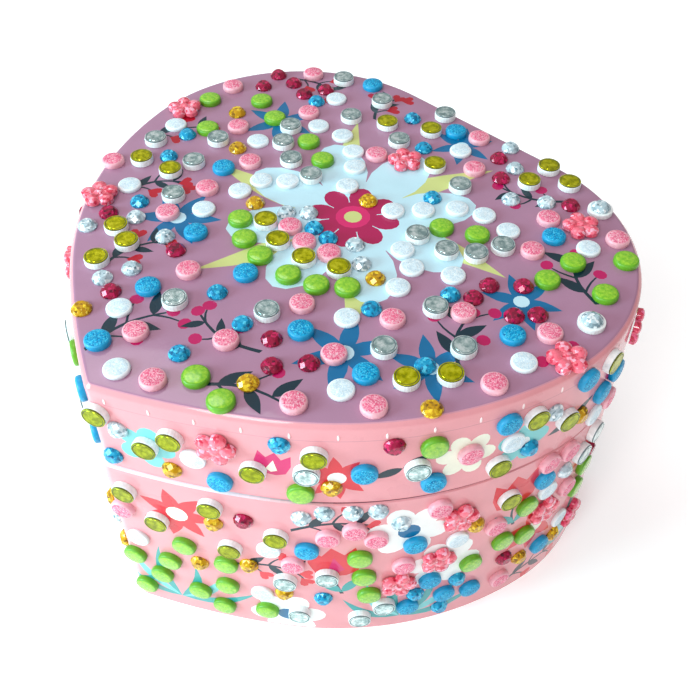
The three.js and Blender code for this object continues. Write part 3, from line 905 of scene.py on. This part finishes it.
def patch(border, lines, shapes, ground):
    """Triangles of a flat region cut along the print's outlines, each with its colour."""
    low_x, low_y = (min(p[i] for p in border) + PRINT_MARGIN for i in (0, 1))
    high_x, high_y = (max(p[i] for p in border) - PRINT_MARGIN for i in (0, 1))
    kept = []
    for colour, points in shapes:
        if all(low_x < x < high_x for x, _ in points):
            points = [(x, min(max(y, low_y), high_y)) for x, y in points]
            if all(inside(border, x, y) for x, y in points):
                kept.append((colour, points))
    points, edges = [], []
    for loop in [border, *lines, *[loop for _, loop in kept]]:
        start, n = len(points), len(loop)
        points += [Vector(p) for p in loop]
        edges += [(start + i, start + (i + 1) % n) for i in range(n if n > 2 else 1)]
    verts, _, faces, *_ = delaunay_2d_cdt(points, edges, [], 0, SAME_POINT, False)
    colours, centres, grid = [ground] * len(faces), [], {}
    for k, (a, b, c) in enumerate(faces):
        p, q, r = verts[a], verts[b], verts[c]
        x, y = (p.x + q.x + r.x) / 3, (p.y + q.y + r.y) / 3
        centres.append((x, y))
        grid.setdefault((int(x // CELL), int(y // CELL)), []).append(k)
    for colour, loop in kept:
        xs, ys = [p[0] for p in loop], [p[1] for p in loop]
        for gx in range(int(min(xs) // CELL), int(max(xs) // CELL) + 1):
            for gy in range(int(min(ys) // CELL), int(max(ys) // CELL) + 1):
                for k in grid.get((gx, gy), ()):
                    if inside(loop, *centres[k]):
                        colours[k] = colour
    return [tuple(v) for v in verts], faces, colours


class Board:
    """A printed shell: faces with a material and a print colour each."""

    def __init__(self):
        self.solid, self.colours = Solid(), []

    def add(self, verts, faces, mat, colour):
        self.solid.add(verts, faces, [mat] * len(faces))
        self.colours += colour if isinstance(colour, list) else [colour] * len(faces)

    def band(self, low, high, mat, colour):
        n = len(low)
        self.add(low + high, [(i, (i + 1) % n, n + (i + 1) % n, n + i) for i in range(n)], mat, colour)

    def cap(self, loop, up):
        order = tuple(range(len(loop)))
        self.add(loop, [order if up else order[::-1]], LINED, ROSE)

    def wall(self, low, high, offset, shift, shapes, fold=()):
        """An outer wall, unrolled to (run, height), cut along the print and put back round the outline."""
        border = [(s, low) for s in STATIONS] + [(s, high) for s in reversed(STATIONS)]
        lines = [((s, low), (s, high)) for s in STATIONS[1:-1]]
        shifted = [(colour, [(s, z + low) for s, z in points]) for colour, points in shapes]
        lines += [((STATIONS[0], z), (STATIONS[-1], z)) for z in fold]
        flat, faces, colours = patch(border, lines, shifted, ROSE)
        for k, face in enumerate(faces):
            # Faces in the fold's band take its painted shade
            if fold and fold[0] < sum(flat[i][1] for i in face) / 3 < fold[1]:
                colours[k] = FOLD_SHADE
        verts = []
        for s, z in flat:
            x, y, nx, ny = outline_at(s)
            verts.append((x + offset * nx + shift[0], y + offset * ny + shift[1], z))
        self.add(verts, faces, PRINTED, colours)

    def object(self, name, materials):
        obj = self.solid.object(name, materials)
        mesh = obj.data
        layer = mesh.color_attributes.new("print", "FLOAT_COLOR", "CORNER")
        for polygon in mesh.polygons:
            for loop in polygon.loop_indices:
                layer.data[loop].color = self.colours[polygon.index]
        bm = bmesh.new()
        bm.from_mesh(mesh)
        bmesh.ops.remove_doubles(bm, verts=bm.verts, dist=WELD)
        bm.to_mesh(mesh)
        bm.free()
        mesh.shade_smooth()
        mesh.set_sharp_from_angle(angle=radians(BOARD_SHARP))
        return obj


# The lid's fold line, painted darker as the shade at the flap's edge; the flat that slants along its rim; and
# its tabs, stretched up the wall and painted near white as their highlight
FOLD_DOWN, FOLD_WIDTH, RIM_FLAT = 6.2, 0.28, 0.9
TAB_DOWN, TAB_SPACING, TAB_START, TAB_MARGIN, TAB_STRETCH, TAB_SIDES = 4.6, 12.4, 0.4, 2, 3.2, 8
TAB_PROFILE = [(0, -0.15, 0), (0.42, -0.15, 0), (0.3, 0.16, 0), (0, 0.26, 0)]

# The rim's bands from the wall up: its turn, whether it lies past the slanted flat, and its print
RIM_BANDS = [
    (15, 0, ROSE), (30, 0, ROSE), (45, 0, ROSE), (45, 1, ROSE), (60, 1, EDGE_TINT), (75, 1, MAUVE),
    (90, 1, MAUVE)]


def lid_board():
    board, outer = Board(), -LID_INSET
    top = HEIGHT - RIM_ROUND
    fold = (HEIGHT - FOLD_DOWN, HEIGHT - FOLD_DOWN + FOLD_WIDTH)
    board.wall(LID_BOTTOM, top, outer, LID_ASKEW, lid_wall_print(), fold)
    low = ring(outer, top, LID_ASKEW)
    slant = RIM_FLAT * sqrt(0.5)
    for degrees, past, colour in RIM_BANDS:
        a = radians(degrees)
        inset = (RIM_ROUND - slant) * (1 - cos(a)) + past * slant
        rise = (RIM_ROUND - slant) * sin(a) + past * slant
        high = ring(outer - inset, top + rise, LID_ASKEW)
        board.band(low, high, PRINTED, colour)
        low = high
    flat, faces, colours = patch([p[:2] for p in low], [], lid_print(), MAUVE)
    board.add([(x, y, HEIGHT) for x, y in flat], faces, PRINTED, colours)
    inner = outer - WALL
    floor, ceiling = ring(inner, LID_BOTTOM, LID_ASKEW), ring(inner, HEIGHT - LID_BOARD, LID_ASKEW)
    board.band(floor, ring(outer, LID_BOTTOM, LID_ASKEW), PRINTED, ROSE)
    board.band(ceiling, floor, LINED, ROSE)
    board.cap(ceiling, up=False)
    count = int(HALF_RUN / TAB_SPACING)
    for k in range(-count, count + 1):
        tab = {"u": (k + TAB_START) * TAB_SPACING, "v": LID_HEIGHT - TAB_DOWN}
        if abs(tab["u"]) < HALF_RUN - TAB_MARGIN:
            shape = lathe(TAB_PROFILE, TAB_SIDES)
            board.solid.add(*shape, lid_wall_frame(tab, 0) @ Matrix.Diagonal((1, TAB_STRETCH, 1, 1)))
            # Each tab is painted near white: a painted highlight
            board.colours += [TAB_HIGHLIGHT] * len(shape[1])
    return board.object("lid_board", [PAPER, LINING])


# The base's pressed edge, and the runs from the tip over which its painted highlight holds and fades
LEDGE_WIDTH, LEDGE_DROP, LEDGE_CHANGE, LEDGE_FADE = 0.5, 0.3, 66.0, 34.0


def base_board():
    board = Board()
    shoulder = BASE_TOP - LEDGE_DROP
    board.wall(0, shoulder, 0, (0, 0), base_wall_print())
    inner_top, inner_low = ring(-WALL, BASE_TOP), ring(-WALL, FLOOR)
    ledge = ring(-LEDGE_WIDTH, BASE_TOP)
    # The ledge's face has a painted highlight near the tip and the wall's rose further on. Its top has the
    # same painted highlight near the tip and, further on, painted shadow where the lid overhangs it.
    near_tip = [min(max((LEDGE_CHANGE - abs(s)) / LEDGE_FADE, 0), 1) for s in STATIONS[:-1]]
    shine, shade = [
        [tuple(a + (b - a) * t for a, b in zip(far, LEDGE_HIGHLIGHT)) for t in near_tip]
        for far in (ROSE, LEDGE_SHADOW)]
    board.band(ring(0, shoulder), ledge, PRINTED, shine)
    board.band(ledge, inner_top, PRINTED, shade)
    board.band(inner_top, inner_low, LINED, ROSE)
    board.cap(inner_low, up=True)
    board.cap(ring(0, 0), up=False)
    return board.object("base_board", [PAPER, LINING])


def ride(obj, node):
    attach(obj, "root")
    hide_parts(node)


def dress(gems, place, node, on_top, counts, rng):
    """Single gems get an object each; the small ones of a kind share one for each board."""
    groups = {}
    for gem in gems:
        kind = gem["kind"]
        phase = rng.uniform(0, tau)
        form = KINDS[kind][0]
        single = form == "flower" or on_top and form in ("mirror", "foam_stone")
        solid = Solid() if single else groups.setdefault(kind, Solid())
        lift = -SUNK if not single else GLUE_GAP if form == "flower" else 0.0
        for shape in gem_shapes(kind, phase):
            solid.add(*shape, place(gem, lift))
        if single:
            counts[kind] = counts.get(kind, 0) + 1
            obj = solid.object(f"{kind}_{counts[kind]:02d}", LOOKS[kind], FORMS[form][0])
            ride(obj, f"{kind}_gem_{counts[kind]:02d}")
    side = "top" if on_top else "wall"
    for kind, solid in groups.items():
        sharp, ending = FORMS[KINDS[kind][0]]
        # Lime discs on the walls take the foil's darker copy, whose colours are painted shade
        look = SHADED_WALL_LIME if kind == "lime_mirror" else LOOKS[kind]
        obj = solid.object(f"{node}_{side}_{kind}{ending}", look, sharp)
        ride(obj, node)


SEED = 11


def build_box():
    ride(base_board(), "base")
    ride(lid_board(), "lid")
    rng, counts = random.Random(SEED), {}
    per_run, per_base, per_lid = HALF_RUN / 1000, BASE_TOP / 100, LID_HEIGHT / 100
    base = gems_of(BASE_WALL_GEMS, per_run, per_base) + far_gems(BASE_FAR_ROWS, per_base)
    settle(base, bound_wall(0, BASE_TOP))
    dress(base, base_wall_frame, "base", False, counts, rng)
    top = settle(gems_of(TOP_GEMS, WIDTH / 200, LENGTH / 200), bound_top)
    wall = gems_of(LID_WALL_GEMS, per_run, per_lid) + far_gems(LID_FAR_ROWS, per_lid)
    settle(wall, bound_wall(0, LID_HEIGHT - RIM_ROUND))
    dress(top, top_frame, "lid", True, counts, rng)
    dress(wall, lid_wall_frame, "lid", False, counts, rng)


# Camera, light and floor

# The camera as fitted to the photo: angles in degrees, place in millimetres, lens in the photo's pixels
CAMERA_AZIMUTH, CAMERA_PITCH, CAMERA_ROLL = 42.5, 46.45, -1.28
CAMERA_AT, CAMERA_CLIP = (157.885, -147.425, HEIGHT + 180.61), (0.01, 20)
FOCAL_PX, CENTRE_PX, FRAME_PX, SENSOR_WIDTH = 930.45, 364.8, 689, 36

# Each light's azimuth, elevation, distance, size, power and colour, and the point they all face
LIGHTS = {
    "key": (-26, 19, 0.95, 0.45, 8.6, (0.56, 1.0, 1.06)),
    "rim_light": (18, 44, 1.0, 0.3, 2.7, (1, 1, 1)),
    "top_light": (262, 60, 0.85, 0.4, 1.2, (1, 1, 1)),
}
LIGHTS_FACE = (0, 0, 0.05)

# The studio's strength, its greys from below to above, and how it dims away from its bright side
STUDIO_STRENGTH, STUDIO_GREYS = 0.9, [(0.0, 0.8), (0.3, 0.9), (0.62, 0.95), (1.0, 0.8)]
BRIGHT_SIDE, SIDE_FROM, SIDE_TO = (-0.42, -0.62, 0.66), (-0.6, 0.9), (0.24, 0.96)
FLOOR_HALF, FLOOR_DROP = 4000, 0.0002


def camera():
    azimuth, pitch, roll = (radians(a) for a in (CAMERA_AZIMUTH, CAMERA_PITCH, CAMERA_ROLL))
    forward = Vector((-sin(azimuth) * cos(pitch), cos(azimuth) * cos(pitch), -sin(pitch)))
    right = Vector((cos(azimuth), sin(azimuth), 0))
    up = right.cross(forward)
    x_axis = right * cos(roll) - up * sin(roll)
    y_axis = right * sin(roll) + up * cos(roll)
    data = bpy.data.cameras.new("camera")
    data.sensor_width = SENSOR_WIDTH
    data.lens = FOCAL_PX / FRAME_PX * data.sensor_width
    data.shift_x = 0.5 - CENTRE_PX / FRAME_PX
    data.clip_start, data.clip_end = CAMERA_CLIP
    obj = bpy.data.objects.new("camera", data)
    turn = Matrix((x_axis, y_axis, -forward)).transposed().to_4x4()
    obj.matrix_world = Matrix.Translation(Vector(CAMERA_AT) * MM) @ turn
    bpy.context.scene.collection.objects.link(obj)
    bpy.context.scene.camera = obj


def area_light(name, azimuth, elevation, distance, size, power, colour):
    """A soft light that faces the box. Azimuth runs from the tip's side towards the right."""
    a, e = radians(azimuth), radians(elevation)
    away = Vector((sin(a) * cos(e), -cos(a) * cos(e), sin(e)))
    data = bpy.data.lights.new(name, "AREA")
    data.shape, data.size, data.energy, data.color = "DISK", size, power, colour
    obj = bpy.data.objects.new(name, data)
    obj.location = Vector(LIGHTS_FACE) + away * distance
    obj.rotation_mode = "QUATERNION"
    obj.rotation_quaternion = away.to_track_quat("Z", "Y")
    bpy.context.scene.collection.objects.link(obj)


def world():
    """A pale studio, brightest above the box's front left."""
    made = bpy.data.worlds.new("studio")
    bpy.context.scene.world = made
    made.use_nodes = True
    tree = made.node_tree
    back = tree.nodes["Background"]
    back.inputs["Strength"].default_value = STUDIO_STRENGTH
    coords, split, ramp, facing, side, both = (tree.nodes.new("ShaderNode" + kind) for kind in (
        "TexCoord", "SeparateXYZ", "ValToRGB", "VectorMath", "MapRange", "VectorMath"))
    set_stops(ramp, [(at, (v, v, v, 1)) for at, v in STUDIO_GREYS])
    facing.operation, both.operation = "DOT_PRODUCT", "MULTIPLY"
    facing.inputs[1].default_value = BRIGHT_SIDE
    side.inputs["From Min"].default_value, side.inputs["From Max"].default_value = SIDE_FROM
    side.inputs["To Min"].default_value, side.inputs["To Max"].default_value = SIDE_TO
    for output, socket in (
            (coords.outputs["Generated"], split.inputs[0]), (split.outputs["Z"], ramp.inputs["Fac"]),
            (coords.outputs["Generated"], facing.inputs[0]), (facing.outputs["Value"], side.inputs["Value"]),
            (ramp.outputs["Color"], both.inputs[0]), (side.outputs["Result"], both.inputs[1]),
            (both.outputs["Vector"], back.inputs["Color"])):
        tree.links.new(output, socket)


def floor():
    s = Shader("pale_floor", roughness=0.6, emission_color=(1, 1, 1, 1), emission_strength=0.3)
    colour = s.tones(s.noise(60), (0.3, (250, 250, 250)), (0.7, (254, 254, 254)))
    material = s.made(colour, None, s.bump(s.noise(2, 2), 0.01))
    half = FLOOR_HALF
    corners = [(-half, -half, 0), (half, -half, 0), (half, half, 0), (-half, half, 0)]
    obj = Solid().add(corners, [(0, 1, 2, 3)], [0]).object("floor", [material])
    obj.location.z = -FLOOR_DROP


build_box()
camera()
world()
floor()
for light, values in LIGHTS.items():
    area_light(light, *values)
bpy.context.scene.view_settings.view_transform = "Standard"
